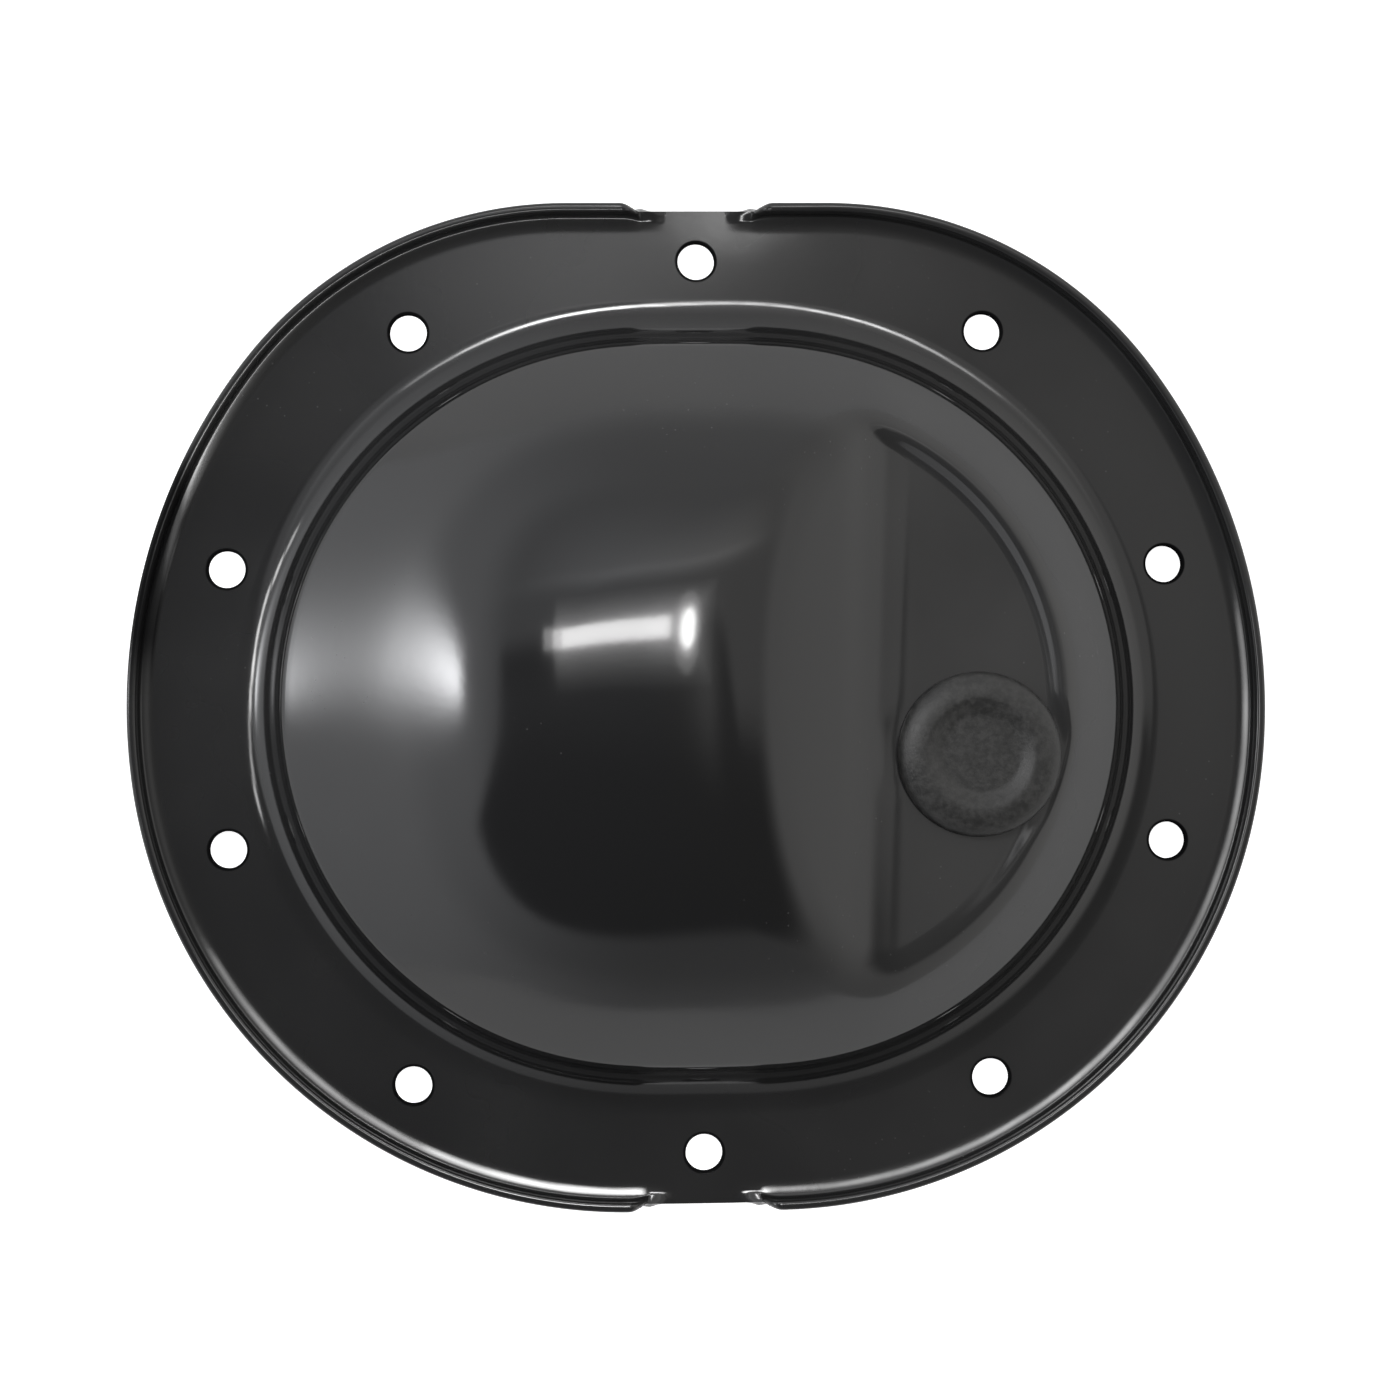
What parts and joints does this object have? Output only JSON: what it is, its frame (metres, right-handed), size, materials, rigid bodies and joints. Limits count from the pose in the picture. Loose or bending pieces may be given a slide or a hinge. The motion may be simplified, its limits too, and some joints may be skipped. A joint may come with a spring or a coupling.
{
  "type": "axle differential cover",
  "caption": "Stamped steel axle differential cover: flat bolted flange with an upturned lip, off-centre dome, low flat pad and a round push-in rubber filler plug.",
  "frame": {"origin": "centre of the flat gasket face, level with the flange's underside", "axes": "+Z out of the dome, away from the axle; +X along the longer side, towards the low pad with the filler plug; +Y along the shorter side, through the two gaps in the lip"},
  "size_m": [0.2896, 0.2563, 0.0571],
  "materials": {
    "cover_shell": "smooth glossy black paint on pressed steel",
    "fill_plug": "matte moulded black rubber"
  },
  "bodies": {
    "root": {"cover_shell": "cover_shell", "fill_plug": "fill_plug"}
  },
  "joints": []
}
